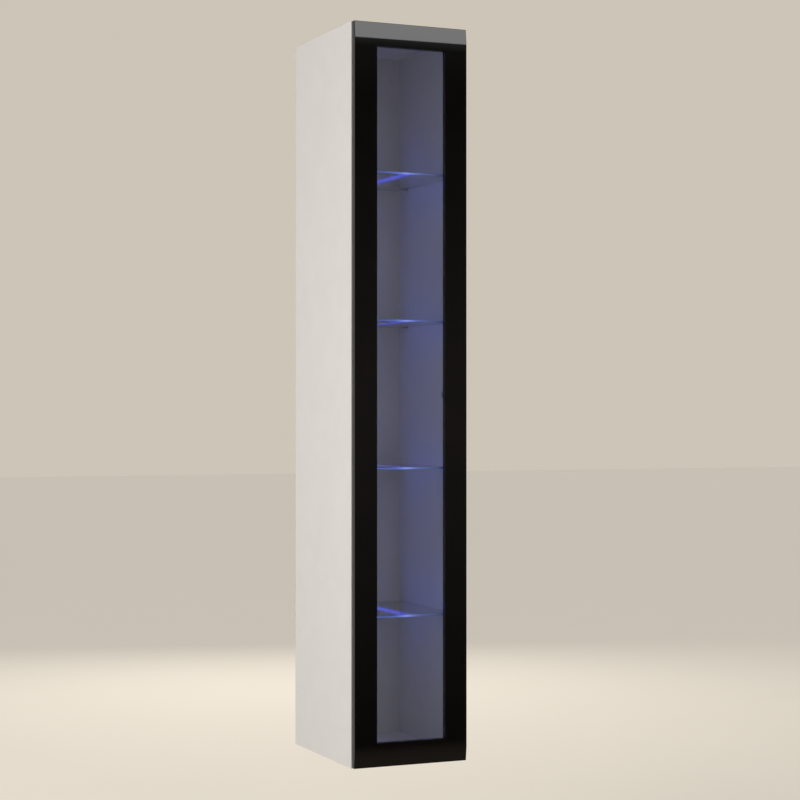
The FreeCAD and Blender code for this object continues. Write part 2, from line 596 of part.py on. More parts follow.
def both_sides(z_low, z_high):
    """List the two mirrored height spans of a pair of plates."""
    return [(z_low, z_high), (-z_high, -z_low)]


def hinge_cup():
    """Make the cup block with its recess, its wings and the bores that hold its two pivots."""
    floor_y = door_back_y - size("cup_depth")
    cup = rod(size("cup_radius"), Vector(CUP_CENTRE_X, floor_y, 0), Y_AXIS, size("cup_depth"))
    wings = block(-141.2, door_back_y, -27, -111, door_back_y + 1.2, 27)
    wings = wings.makeFillet(5, [edge for edge in wings.Edges if abs(edge.tangentAt(0).y) > 0.5])
    cup = cup.fuse(wings)
    cup = cup.cut(block(-141.2, floor_y + 0.8, -7.2, -110.8, door_back_y + 2, 7.2))
    cup = cup.cut(block(-144, door_back_y - 4.2, -7.2, -141, door_back_y + 2, 7.2))
    for pivot in (CUP_OUTER_PIVOT, CUP_INNER_PIVOT):
        cup = cup.cut(post(pivot, PIVOT_RADIUS, -9, 9))
    for z in (-22.5, 22.5):
        start = Vector(CUP_CENTRE_X + 9.5, door_back_y - 1, z)
        cup = cup.cut(rod(size("screw_radius") + 0.05, start, Y_AXIS, 4))
    return cup.removeSplitter()


def outer_link():
    """Make the cranked outer link: one plate on each side of the arm's nose."""
    plates = []
    for z_low, z_high in both_sides(4.8, 6.6):
        plate = post(ARM_OUTER_PIVOT, 2.4, z_low, z_high)
        plate = plate.fuse(strip(ARM_OUTER_PIVOT, OUTER_ELBOW, 1.6, z_low, z_high))
        plate = plate.fuse(post(OUTER_ELBOW, 1.3, z_low, z_high))
        plate = plate.fuse(strip(OUTER_ELBOW, CUP_OUTER_PIVOT, 1.0, z_low, z_high))
        plate = plate.fuse(post(CUP_OUTER_PIVOT, 1.6, z_low, z_high))
        for pivot in (ARM_OUTER_PIVOT, CUP_OUTER_PIVOT):
            plate = plate.cut(post(pivot, PIVOT_RADIUS + RUNNING_PLAY, -10, 10))
        plates.append(plate.removeSplitter())
    return plates


def inner_link():
    """Make the short inner link, which ends before the cup's inner pivot."""
    dx = CUP_INNER_PIVOT[0] - ARM_INNER_PIVOT[0]
    dy = CUP_INNER_PIVOT[1] - ARM_INNER_PIVOT[1]
    length = math.hypot(dx, dy)
    reach = (length - 2.7) / length
    tip = (ARM_INNER_PIVOT[0] + dx * reach, ARM_INNER_PIVOT[1] + dy * reach)
    link = post(ARM_INNER_PIVOT, 2.0, -2.8, 2.8).fuse(strip(ARM_INNER_PIVOT, tip, 1.4, -2.8, 2.8))
    return link.cut(post(ARM_INNER_PIVOT, PIVOT_RADIUS + RUNNING_PLAY, -3, 3)).removeSplitter()


def hinge_arm():
    """Make the arm: a channel over the mounting plate's rib and a nose of two ears."""
    arm = block(-131.5, -157, -9, -112, -114, 9).cut(block(-132, -158, -7.3, -113.6, -113, 7.3))
    heel = (-113.0, -154.0)
    knee = (-117.0, -177.0)
    for z_low, z_high in both_sides(3.2, 4.4):
        for start, end, half, eye in ((heel, ARM_OUTER_PIVOT, 2.0, 2.6), (ARM_OUTER_PIVOT, knee, 2.2, 1.8),
                                      (knee, ARM_INNER_PIVOT, 1.8, 1.8)):
            arm = arm.fuse(strip(start, end, half, z_low, z_high)).fuse(post(end, eye, z_low, z_high))
    for pivot in (ARM_OUTER_PIVOT, ARM_INNER_PIVOT):
        arm = arm.cut(post(pivot, PIVOT_RADIUS, -10, 10))
    arm = arm.cut(rod(3.05, Vector(-115, -132, 0), X_AXIS, 5))
    return arm.removeSplitter()


def mounting_plate():
    """Make the plate that is screwed to the side board, with the rib that carries the arm."""
    plate = block(-134, -154, -24, -132, -130, 24)
    plate = plate.makeFillet(4, [edge for edge in plate.Edges if abs(edge.tangentAt(0).x) > 0.5])
    plate = plate.fuse(block(-134, -148, -7, -113.8, -116, 7))
    for z in (-16, 16):
        plate = plate.cut(rod(size("screw_radius") + 0.05, Vector(-135, -143, z), X_AXIS, 5))
    plate = plate.cut(rod(2.9, Vector(-129, -132, 0), X_AXIS, 20))
    return plate.removeSplitter()


def at_hinges(shape):
    """Repeat a shape at the height of each hinge."""
    return [placed(shape, 0, 0, level) for level in hinge_levels]


arm_screw = rod(2.85, Vector(-128, -132, 0), X_AXIS, 16).fuse(rod(4.4, Vector(-112, -132, 0), X_AXIS, 2.4))
arm_screw = arm_screw.cut(block(-110.8, -132.6, -3.2, -109, -131.4, 3.2)).removeSplitter()
group("hinge_cups", at_hinges(hinge_cup()))
group("hinge_arms", at_hinges(hinge_arm()))
group("hinge_plates", at_hinges(mounting_plate()))
group("hinge_outer_links", [copy for plate in outer_link() for copy in at_hinges(plate)])
group("hinge_inner_links", at_hinges(inner_link()))
group("hinge_arm_pivots", at_hinges(post(ARM_OUTER_PIVOT, PIVOT_RADIUS, -7, 7))
      + at_hinges(post(ARM_INNER_PIVOT, PIVOT_RADIUS, -4.4, 4.4)))
cup_pivots = [post(CUP_INNER_PIVOT, PIVOT_RADIUS, -9, 9)]
cup_pivots += [post(CUP_OUTER_PIVOT, PIVOT_RADIUS, z_low, z_high) for z_low, z_high in both_sides(4.7, 9)]
group("hinge_cup_pivots", [copy for pivot in cup_pivots for copy in at_hinges(pivot)])
group("hinge_arm_screws", at_hinges(arm_screw))
cup_screw_x = CUP_CENTRE_X + 9.5
group("hinge_cup_screws", [placed(screw.Shape, cup_screw_x, door_back_y + 1.2, level + dz, POINTING_BACK)
                           for level in hinge_levels for dz in (-22.5, 22.5)])
group("hinge_plate_screws", [placed(screw.Shape, -132, -143, level + dz, POINTING_RIGHT)
                             for level in hinge_levels for dz in (-16, 16)])

# ---------------------------------------------------------------- push latch

LATCH_X = inner_half - 7
LATCH_FRONT = carcass_front_y + 2
PLUNGER_RADIUS = 4.5
TIP_Y = door_back_y + 1.4
latch_body = block(inner_half - 14, LATCH_FRONT, latch_z - 7.5, inner_half, LATCH_FRONT + 66, latch_z + 7.5)
latch_body = latch_body.makeFillet(2, [edge for edge in latch_body.Edges if abs(edge.tangentAt(0).y) > 0.5
                                       and edge.CenterOfMass.x < inner_half - 1])
latch_body = latch_body.fuse(block(inner_half - 2, LATCH_FRONT + 18, latch_z - 17, inner_half,
                                   LATCH_FRONT + 48, latch_z + 17))
latch_body = latch_body.cut(rod(PLUNGER_RADIUS + 0.1, Vector(LATCH_X, LATCH_FRONT - 1, latch_z), Y_AXIS, 62))
for dz in (-12, 12):
    latch_body = latch_body.cut(rod(size("screw_radius") + 0.05,
                                    Vector(inner_half - 3, carcass_front_y + 35, latch_z + dz), X_AXIS, 5))
group("latch_housing", [latch_body.removeSplitter()])
PLUNGER_END = -152
POCKET_FLOOR = -170
plunger = rod(PLUNGER_RADIUS, Vector(LATCH_X, TIP_Y + 0.4, latch_z), Y_AXIS, PLUNGER_END - TIP_Y - 0.4)
plunger = plunger.cut(rod(3.5, Vector(LATCH_X, TIP_Y, latch_z), Y_AXIS, 2.5))
plunger = plunger.cut(rod(3.2, Vector(LATCH_X, POCKET_FLOOR, latch_z), Y_AXIS, 20))
group("latch_plunger", [plunger])
group("latch_magnet", [rod(3.4, Vector(LATCH_X, TIP_Y, latch_z), Y_AXIS, 2.4)])
spring_start = POCKET_FLOOR + 2.4
spring_length = LATCH_FRONT + 60.6 - spring_start
helix = Part.makeHelix(spring_length / 14, spring_length - 0.8, 2.65)
wire = Part.Wire([Part.makeCircle(0.35, Vector(2.65, 0, 0), Y_AXIS)])
spring = Part.Wire(helix.Edges).makePipeShell([wire], True, True)
group("latch_spring", [placed(spring, LATCH_X, spring_start + 0.4, latch_z, POINTING_BACK)])
group("latch_screws", [placed(screw.Shape, inner_half - 2, carcass_front_y + 35, latch_z + dz, POINTING_LEFT)
                       for dz in (-12, 12)])

# ---------------------------------------------------------------- hanging gear behind the back panel

rail_top = height - 49
rail_profile = [(wall_y - 2, rail_top - 61), (wall_y, rail_top - 61), (wall_y, rail_top - 11),
                (wall_y - 6, rail_top - 11), (wall_y - 6, rail_top), (wall_y - 8, rail_top),
                (wall_y - 8, rail_top - 13), (wall_y - 2, rail_top - 13)]
rail_face = Part.Face(Part.makePolygon([Vector(-127, y, z) for y, z in rail_profile + rail_profile[:1]]))
rail = rail_face.extrude(Vector(254, 0, 0))
rail_hole_z = rail_top - 41
for side in (-1, 1):
    rail = rail.cut(rod(size("rail_hole_radius"),
                        Vector(side * size("rail_hole_spacing") / 2, wall_y - 3, rail_hole_z), Y_AXIS, 4))
group("wall_rail", [rail])

HOOK_X = 120.5
hook_profile = [(185.6, 1716), (191.6, 1716), (191.6, 1751.3), (194.4, 1751.3), (194.4, 1742), (197.6, 1742),
                (197.6, 1757), (185.6, 1757)]
hook = Part.Face(Part.makePolygon([Vector(0, y, z) for y, z in hook_profile + hook_profile[:1]]))
hook = hook.extrude(Vector(3, 0, 0))
adjuster = rod(4, Vector(0, 0, 0), Y_AXIS, 5.6).cut(block(-2.6, -1, -0.5, 2.6, 1.5, 0.5))
adjuster = adjuster.cut(block(-0.5, -1, -2.6, 0.5, 1.5, 2.6))


def hanger_housing(side):
    """Make one hanger's housing: screwed to the side board, slotted for its hook."""
    outer, inner = side * inner_half, side * (inner_half - 30)
    body = block(min(outer, inner), back_rear_y + 0.5, height - 120, max(outer, inner), wall_y - 8.1,
                 height - 35)
    body = body.cut(block(side * HOOK_X - 1.8, 185.2, 1713, side * HOOK_X + 1.8, 195, 1766))
    body = body.cut(rod(4.05, Vector(side * ACCESS_X, 183, height - ACCESS_BELOW_TOP), Y_AXIS, 6.8))
    for z in (height - 112, height - 96):
        start = Vector(side * (inner_half - 31), 188, z)
        direction = X_AXIS * side
        body = body.cut(rod(size("screw_radius") + 0.05, start, direction, 32))
        body = body.cut(rod(3.5, start, direction, 25))
    return body.removeSplitter()


for name, side in (("left", -1), ("right", 1)):
    group(f"hanger_housing_{name}", [hanger_housing(side)])
    group(f"hanger_hook_{name}", [placed(hook, side * HOOK_X - 1.5, 0, 0)])
    group(f"hanger_adjuster_{name}", [placed(adjuster, side * ACCESS_X, 184, height - ACCESS_BELOW_TOP)])
HEAD_RECESS = 6
group("hanger_screws", [placed(screw.Shape, side * (inner_half - HEAD_RECESS), 188, z, INWARD[side])
                        for side in (-1, 1) for z in (height - 112, height - 96)])
cover = rod(6, Vector(0, 0, 0), Y_AXIS, 1).fuse(rod(3.9, Vector(0, 0, 0), Y_AXIS, 3.5))
group("access_covers", [placed(cover.removeSplitter(), side * ACCESS_X, back_front_y - 1,
                               height - ACCESS_BELOW_TOP) for side in (-1, 1)])

# ---------------------------------------------------------------- checks and export

MASTERS = ("cam_lock", "cam_bolt", "dowel", "cam_cap", "wood_screw", "small_screw", "shelf_pin",
           "shelf_pad_piece", "grommet_piece")
doc.recompute()
for item in doc.Objects:
    if "Invalid" in item.State or "Error" in item.State:
        raise RuntimeError(f"{item.Label} failed to compute: {item.State}")
    if item.TypeId == "PartDesign::Pocket":
        before = item.BaseFeature.Shape.Volume
        if item.Shape.Volume > before - 0.01:
            raise RuntimeError(f"{item.Label} cuts nothing")
nodes = [item for item in doc.Objects if item.Label not in MASTERS
         and (item.TypeId == "PartDesign::Body" or item.TypeId == "Part::Feature")]
os.makedirs("parts", exist_ok=True)
for node in nodes:
    shape = node.Shape
    if shape.isNull() or not shape.isValid() or not shape.Solids:
        raise RuntimeError(f"{node.Label} has no sound solid")
    shape.exportStep(f"parts/{node.Label}.step")
    print(node.Label, len(shape.Solids), round(shape.Volume / 1000, 2), "cm3")
print(len(nodes), "nodes")
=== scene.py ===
"""Looks of a hanging wall cabinet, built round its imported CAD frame.

Everything is in metres in the row frame: X to the right seen from the front, +Y into the wall, +Z up.
"""

import logging
import math
from dataclasses import dataclass
from enum import Enum
from typing import Any, Callable, Iterable, Optional

import bmesh
import bpy
from mathutils import Euler, Matrix, Vector


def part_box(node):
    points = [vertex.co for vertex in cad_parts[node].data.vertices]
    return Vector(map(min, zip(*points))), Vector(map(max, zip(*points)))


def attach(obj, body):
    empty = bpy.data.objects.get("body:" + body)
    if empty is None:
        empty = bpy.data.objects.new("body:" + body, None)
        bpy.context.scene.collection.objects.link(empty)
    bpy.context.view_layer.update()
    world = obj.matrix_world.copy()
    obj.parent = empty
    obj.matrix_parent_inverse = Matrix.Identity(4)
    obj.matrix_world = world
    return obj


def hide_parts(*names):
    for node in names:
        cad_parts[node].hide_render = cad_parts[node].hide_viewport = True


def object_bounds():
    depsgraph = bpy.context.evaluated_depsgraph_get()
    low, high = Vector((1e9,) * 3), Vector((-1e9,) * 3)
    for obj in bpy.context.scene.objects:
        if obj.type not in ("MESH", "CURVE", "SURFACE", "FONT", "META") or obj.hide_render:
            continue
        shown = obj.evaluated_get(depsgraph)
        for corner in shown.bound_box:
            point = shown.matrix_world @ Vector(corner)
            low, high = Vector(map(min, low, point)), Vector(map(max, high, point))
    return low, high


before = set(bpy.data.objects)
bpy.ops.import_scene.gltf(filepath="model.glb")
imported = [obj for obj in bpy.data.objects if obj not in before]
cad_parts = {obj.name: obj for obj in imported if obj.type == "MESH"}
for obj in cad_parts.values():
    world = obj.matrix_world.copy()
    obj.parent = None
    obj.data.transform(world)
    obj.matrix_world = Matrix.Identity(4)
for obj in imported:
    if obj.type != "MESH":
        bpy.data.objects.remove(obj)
CAD_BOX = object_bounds()
GLASS_IOR = 1.52
PLASTIC_IOR = 1.5
NOISE_LOW, NOISE_HIGH = 0.3, 0.7  # most of a noise pattern's values lie between these
log = logging.getLogger("cabinet")


def mm(value: float) -> float:
    """Turn millimetres into metres."""
    return value / 1000


NEAR = mm(0.1)  # two places closer than this are the same place


def hex_colour(code: str) -> tuple[float, float, float, float]:
    """Turn an sRGB hex code into a linear colour.

    Args:
        code: six hex digits after a hash.

    Returns:
        Linear red, green, blue and an alpha of one.
    """
    channels = [int(code[start:start + 2], 16) / 255 for start in (1, 3, 5)]
    linear = [c / 12.92 if c <= 0.04045 else ((c + 0.055) / 1.055) ** 2.4 for c in channels]
    return (*linear, 1.0)


def add_node(tree: bpy.types.NodeTree, kind: str, settings: Optional[dict[str, Any]] = None,
             inputs: Optional[dict[Any, Any]] = None) -> bpy.types.Node:
    """Add one node with its settings and links.

    Args:
        tree: the node tree it goes into.
        kind: the node's type name.
        settings: attributes of the node to set.
        inputs: input sockets by name or number, each a plain value or the socket that feeds it.

    Returns:
        The new node.
    """
    node = tree.nodes.new(kind)
    for name, value in (settings or {}).items():
        setattr(node, name, value)
    for key, value in (inputs or {}).items():
        if isinstance(value, bpy.types.NodeSocket):
            tree.links.new(value, node.inputs[key])
        else:
            node.inputs[key].default_value = value
    return node


def new_material(name: str) -> tuple[bpy.types.Material, bpy.types.NodeTree, bpy.types.NodeSocket]:
    """Make an empty node material.

    Args:
        name: the material's name.

    Returns:
        The material, its emptied node tree and the Object coordinates' socket.
    """
    material = bpy.data.materials.new(name)
    material.use_nodes = True
    tree = material.node_tree
    tree.nodes.clear()
    return material, tree, add_node(tree, "ShaderNodeTexCoord").outputs["Object"]


def wire_surface(tree: bpy.types.NodeTree, shader: bpy.types.NodeSocket) -> None:
    """Send a shader to the material's output."""
    add_node(tree, "ShaderNodeOutputMaterial", inputs={"Surface": shader})


def noise(tree: bpy.types.NodeTree, place: bpy.types.NodeSocket, feature_mm: float,
          detail: float = 2.0) -> bpy.types.NodeSocket:
    """Add a noise pattern whose features have a real size.

    Args:
        tree: the material's tree.
        place: the coordinates, in metres.
        feature_mm: rough size of one feature.
        detail: octaves of finer noise.

    Returns:
        The pattern's value socket.
    """
    return add_node(tree, "ShaderNodeTexNoise", inputs={
        "Vector": place, "Scale": 1 / mm(feature_mm), "Detail": detail}).outputs["Fac"]


def spread(tree: bpy.types.NodeTree, value: bpy.types.NodeSocket, low: float,
           high: float) -> bpy.types.NodeSocket:
    """Stretch the useful middle of a noise value over a range.

    Args:
        tree: the material's tree.
        value: the noise value.
        low: result where the noise is low.
        high: result where the noise is high.

    Returns:
        The stretched value's socket.
    """
    return add_node(tree, "ShaderNodeMapRange", inputs={
        "Value": value, "From Min": NOISE_LOW, "From Max": NOISE_HIGH,
        "To Min": low, "To Max": high}).outputs["Result"]


def blend_colour(tree: bpy.types.NodeTree, share: Any, first: Any, second: Any) -> bpy.types.NodeSocket:
    """Mix two colours by a share.

    Args:
        tree: the material's tree.
        share: zero for the first colour, one for the second.
        first: a colour or a colour socket.
        second: a colour or a colour socket.

    Returns:
        The mixed colour's socket.
    """
    node = add_node(tree, "ShaderNodeMix", {"data_type": "RGBA"}, {"Factor": share})
    for socket, value in ((node.inputs[6], first), (node.inputs[7], second)):
        if isinstance(value, bpy.types.NodeSocket):
            tree.links.new(value, socket)
        else:
            socket.default_value = value
    return node.outputs[2]


def colour_ramp(tree: bpy.types.NodeTree, value: bpy.types.NodeSocket,
                stops: tuple[tuple[float, str], ...]) -> bpy.types.NodeSocket:
    """Turn a value into a colour by stops along a ramp.

    Args:
        tree: the tree it goes into.
        value: the value's socket, from zero to one.
        stops: place and hex colour of each stop, in rising order.

    Returns:
        The colour's socket.
    """
    node = add_node(tree, "ShaderNodeValToRGB", inputs={"Fac": value})
    elements = node.color_ramp.elements
    for position, code in stops[1:-1]:
        elements.new(position).color = hex_colour(code)
    for end in (0, -1):
        elements[end].position = stops[end][0]
        elements[end].color = hex_colour(stops[end][1])
    return node.outputs["Color"]


def bump(tree: bpy.types.NodeTree, height: bpy.types.NodeSocket, depth_mm: float,
         strength: float = 1.0) -> bpy.types.NodeSocket:
    """Turn a height pattern into a bumped normal.

    Args:
        tree: the material's tree.
        height: the height pattern.
        depth_mm: real depth of the relief.
        strength: share of the relief that shows.

    Returns:
        The normal's socket.
    """
    return add_node(tree, "ShaderNodeBump", inputs={
        "Height": height, "Distance": mm(depth_mm), "Strength": strength}).outputs["Normal"]


def math_node(tree: bpy.types.NodeTree, operation: str, first: Any,
              second: Any = 0.0) -> bpy.types.NodeSocket:
    """Add one sum and return its value."""
    return add_node(tree, "ShaderNodeMath", {"operation": operation}, {0: first, 1: second}).outputs["Value"]


# ---------------------------------------------------------------- finishes


@dataclass(frozen=True)
class MelamineFinish:
    """Melamine-faced chipboard: a pressed matt film with a soft, even sheen and a fine pearl texture."""

    name: str = "melamine_faced_chipboard"
    light: str = "#e9e8e6"
    dark: str = "#e6e5e3"
    raw_from_y: float = 1.0
    pearl_mm: float = 0.9
    pearl_depth_mm: float = 0.02
    mottle_mm: float = 60.0
    sheen_mm: float = 18.0
    sheen: tuple[float, float] = (0.44, 0.47)
    chip_mm: float = 4.0
    chip_dark: str = "#b9996c"
    chip_light: str = "#dcc59c"

    def build(self) -> bpy.types.Material:
        """Make the material, with bare chipboard where the rear edge isn't banded."""
        material, tree, place = new_material(self.name)
        mottled = blend_colour(tree, spread(tree, noise(tree, place, self.mottle_mm), 0.0, 1.0),
                               hex_colour(self.light), hex_colour(self.dark))
        chips = add_node(tree, "ShaderNodeTexVoronoi", inputs={
            "Vector": place, "Scale": 1 / mm(self.chip_mm)})
        tone = add_node(tree, "ShaderNodeSeparateColor", inputs={"Color": chips.outputs["Color"]})
        raw = blend_colour(tree, tone.outputs["Red"], hex_colour(self.chip_dark), hex_colour(self.chip_light))
        depth = add_node(tree, "ShaderNodeSeparateXYZ", inputs={"Vector": place}).outputs["Y"]
        rear = math_node(tree, "GREATER_THAN", depth, self.raw_from_y)
        colour = blend_colour(tree, rear, mottled, raw)
        shader = add_node(tree, "ShaderNodeBsdfPrincipled", inputs={
            "Base Color": colour, "IOR": PLASTIC_IOR,
            "Roughness": spread(tree, noise(tree, place, self.sheen_mm), *self.sheen),
            "Normal": bump(tree, noise(tree, place, self.pearl_mm), self.pearl_depth_mm, 0.6)})
        wire_surface(tree, shader.outputs["BSDF"])
        return material


@dataclass(frozen=True)
class LacquerFinish:
    """High-gloss lacquer sprayed on fibreboard and polished: a black mirror face with slight orange peel."""

    name: str = "polished_black_lacquer"
    colour: str = "#0b0a0a"
    haze: str = "#100e0d"
    haze_mm: float = 90.0
    polish_mm: float = 25.0
    polish: tuple[float, float] = (0.02, 0.05)
    peel_mm: float = 5.0
    peel_depth_mm: float = 0.004

    def build(self) -> bpy.types.Material:
        """Make the material."""
        material, tree, place = new_material(self.name)
        colour = blend_colour(tree, spread(tree, noise(tree, place, self.haze_mm), 0.0, 1.0),
                              hex_colour(self.colour), hex_colour(self.haze))
        shader = add_node(tree, "ShaderNodeBsdfPrincipled", inputs={
            "Base Color": colour, "IOR": PLASTIC_IOR,
            "Roughness": spread(tree, noise(tree, place, self.polish_mm, 4.0), *self.polish),
            "Normal": bump(tree, noise(tree, place, self.peel_mm, 1.0), self.peel_depth_mm, 0.5)})
        wire_surface(tree, shader.outputs["BSDF"])
        return material


@dataclass(frozen=True)
class GlassFinish:
    """Float glass: flat, with a trace of wiping haze; light reaches what stands behind it."""

    name: str
    tint: str = "#f4fbf8"
    haze_mm: float = 45.0
    haze: float = 0.015
    glow: bool = False
    beam_colour: str = "#4450ff"
    beam_half_mm: float = 17.0
    beam_strength: float = 0.38
    streak_mm: float = 12.0
    streak: tuple[float, float] = (0.75, 1.1)

    def build(self) -> bpy.types.Material:
        """Make the material; a lit shelf also shows the lamp's beam running forward inside it."""
        material, tree, place = new_material(self.name)
        inputs: dict[Any, Any] = {
            "Base Color": hex_colour(self.tint), "IOR": GLASS_IOR, "Transmission Weight": 1.0,
            "Roughness": spread(tree, noise(tree, place, self.haze_mm, 5.0), 0.0, self.haze)}
        if self.glow:
            side = add_node(tree, "ShaderNodeSeparateXYZ", inputs={"Vector": place})
            across = math_node(tree, "MULTIPLY", side.outputs["X"], 1 / mm(self.beam_half_mm))
            fall = math_node(tree, "MULTIPLY", math_node(tree, "MULTIPLY", across, across), -1.0)
            streaks = spread(tree, noise(tree, place, self.streak_mm, 3.0), *self.streak)
            inputs["Emission Color"] = hex_colour(self.beam_colour)
            inputs["Emission Strength"] = math_node(
                tree, "MULTIPLY", math_node(tree, "EXPONENT", fall),
                math_node(tree, "MULTIPLY", streaks, self.beam_strength))
        glass = add_node(tree, "ShaderNodeBsdfPrincipled", inputs=inputs)
        clear = add_node(tree, "ShaderNodeBsdfTransparent", inputs={"Color": hex_colour(self.tint)})
        shadow = add_node(tree, "ShaderNodeLightPath").outputs["Is Shadow Ray"]
        both = add_node(tree, "ShaderNodeMixShader", inputs={
            0: shadow, 1: glass.outputs["BSDF"], 2: clear.outputs["BSDF"]})
        wire_surface(tree, both.outputs["Shader"])
        return material


@dataclass(frozen=True)
class GroundEdgeFinish:
    """Ground glass edge: fine grinding scatters the lamp's blue light, strongest where the beam comes out."""

    name: str = "ground_glass_edge"
    colour: str = "#5f7f86"
    glow: tuple[tuple[float, str], ...] = ((0.02, "#1c1c4c"), (0.4, "#4450b4"), (1.0, "#8f9df6"))
    peak_mm: float = 34.0
    grit_mm: float = 0.8
    grit_depth_mm: float = 0.02

    def build(self) -> bpy.types.Material:
        """Make the material."""
        material, tree, place = new_material(self.name)
        across = add_node(tree, "ShaderNodeSeparateXYZ", inputs={"Vector": place}).outputs["X"]
        distance = math_node(tree, "MULTIPLY", math_node(tree, "ABSOLUTE", across), -1 / mm(self.peak_mm))
        share = math_node(tree, "EXPONENT", distance)
        grit = noise(tree, place, self.grit_mm)
        shader = add_node(tree, "ShaderNodeBsdfPrincipled", inputs={
            "Base Color": hex_colour(self.colour), "IOR": GLASS_IOR, "Transmission Weight": 0.25,
            "Roughness": spread(tree, grit, 0.3, 0.5), "Normal": bump(tree, grit, self.grit_depth_mm),
            "Emission Color": colour_ramp(tree, share, self.glow),
            "Emission Strength": spread(tree, grit, 0.75, 1.05)})
        wire_surface(tree, shader.outputs["BSDF"])
        return material


@dataclass(frozen=True)
class LensFinish:
    """Diffusing lens of a light module: milky moulded plastic lit from behind."""

    name: str = "lit_diffuser_lens"
    colour: str = "#c8d4ff"
    glow: str = "#7f95ff"
    prism_mm: float = 1.2
    prism_depth_mm: float = 0.2
    strength: float = 6.0
    even_share: float = 0.3

    def build(self) -> bpy.types.Material:
        """Make the material, with fine prisms that break up the light."""
        material, tree, place = new_material(self.name)
        prisms = add_node(tree, "ShaderNodeTexVoronoi", inputs={
            "Vector": place, "Scale": 1 / mm(self.prism_mm)}).outputs["Distance"]
        light = math_node(tree, "MULTIPLY", math_node(tree, "ADD", prisms, self.even_share), self.strength)
        shader = add_node(tree, "ShaderNodeBsdfPrincipled", inputs={
            "Base Color": hex_colour(self.colour), "IOR": 1.49, "Roughness": 0.35,
            "Normal": bump(tree, prisms, self.prism_depth_mm), "Emission Color": hex_colour(self.glow),
            "Emission Strength": light})
        wire_surface(tree, shader.outputs["BSDF"])
        return material


class MetalTone(Enum):
    """Plated finishes of the fittings: colour and roughness."""

    ZINC = ("#b9bcc2", 0.34)
    NICKEL = ("#bdb7ab", 0.24)
    SATIN_CHROME = ("#c9cacd", 0.28)
    SCREW = ("#b3b4b6", 0.3)


@dataclass(frozen=True)
class MetalFinish:
    """Plated steel pressed or drawn from coil: bright with faint drawing lines and a cloudy plating."""

    tone: MetalTone
    line_mm: float = 0.5
    line_stretch: float = 0.04
    line_depth_mm: float = 0.01
    cloud_mm: float = 9.0
    cloud_shade: float = 0.8

    def build(self) -> bpy.types.Material:
        """Make the material."""
        material, tree, place = new_material(f"plated_steel_{self.tone.name.lower()}")
        colour, roughness = self.tone.value
        drawn = add_node(tree, "ShaderNodeMapping", inputs={
            "Vector": place, "Scale": (1.0, 1.0, self.line_stretch)})
        lines = noise(tree, drawn.outputs["Vector"], self.line_mm)
        cloud = noise(tree, place, self.cloud_mm, 4.0)
        darker = tuple(c * self.cloud_shade for c in hex_colour(colour)[:3]) + (1.0,)
        shader = add_node(tree, "ShaderNodeBsdfPrincipled", inputs={
            "Base Color": blend_colour(tree, cloud, hex_colour(colour), darker), "Metallic": 1.0,
            "Roughness": spread(tree, lines, roughness - 0.06, roughness + 0.08),
            "Normal": bump(tree, lines, self.line_depth_mm, 0.5)})
        wire_surface(tree, shader.outputs["BSDF"])
        return material


@dataclass(frozen=True)
class MouldedFinish:
    """Injection-moulded or foamed plastic and rubber: even colour with a spark-eroded or cellular grain."""

    name: str
    colour: str
    roughness: float = 0.5
    grain_mm: float = 0.5
    relief_mm: float = 0.03
    tone_mm: float = 15.0
    tone_shade: float = 0.9
    sheen_swing: float = 0.06
    see_through: float = 0.0

    def build(self) -> bpy.types.Material:
        """Make the material."""
        material, tree, place = new_material(self.name)
        grain = noise(tree, place, self.grain_mm)
        base = hex_colour(self.colour)
        deeper = tuple(c * self.tone_shade for c in base[:3]) + (1.0,)
        shader = add_node(tree, "ShaderNodeBsdfPrincipled", inputs={
            "Base Color": blend_colour(tree, noise(tree, place, self.tone_mm), base, deeper),
            "IOR": PLASTIC_IOR, "Transmission Weight": self.see_through,
            "Roughness": spread(tree, grain, self.roughness - self.sheen_swing,
                                self.roughness + self.sheen_swing),
            "Normal": bump(tree, grain, self.relief_mm)})
        wire_surface(tree, shader.outputs["BSDF"])
        return material


@dataclass(frozen=True)
class BeechFinish:
    """Turned beech dowel: pale pink-brown with short dark flecks along the grain."""

    name: str = "turned_beech"
    light: str = "#d9b68c"
    dark: str = "#a97c52"
    fleck_mm: float = 1.5
    fleck_stretch: float = 0.15
    fleck_depth_mm: float = 0.05

    def build(self) -> bpy.types.Material:
        """Make the material, with the grain along X as the dowels lie."""
        material, tree, place = new_material(self.name)
        along = add_node(tree, "ShaderNodeMapping", inputs={
            "Vector": place, "Scale": (self.fleck_stretch, 1.0, 1.0)})
        flecks = noise(tree, along.outputs["Vector"], self.fleck_mm, 3.0)
        shader = add_node(tree, "ShaderNodeBsdfPrincipled", inputs={
            "Base Color": blend_colour(tree, flecks, hex_colour(self.light), hex_colour(self.dark)),
            "IOR": PLASTIC_IOR, "Roughness": spread(tree, flecks, 0.5, 0.65),
            "Normal": bump(tree, flecks, self.fleck_depth_mm)})
        wire_surface(tree, shader.outputs["BSDF"])
        return material


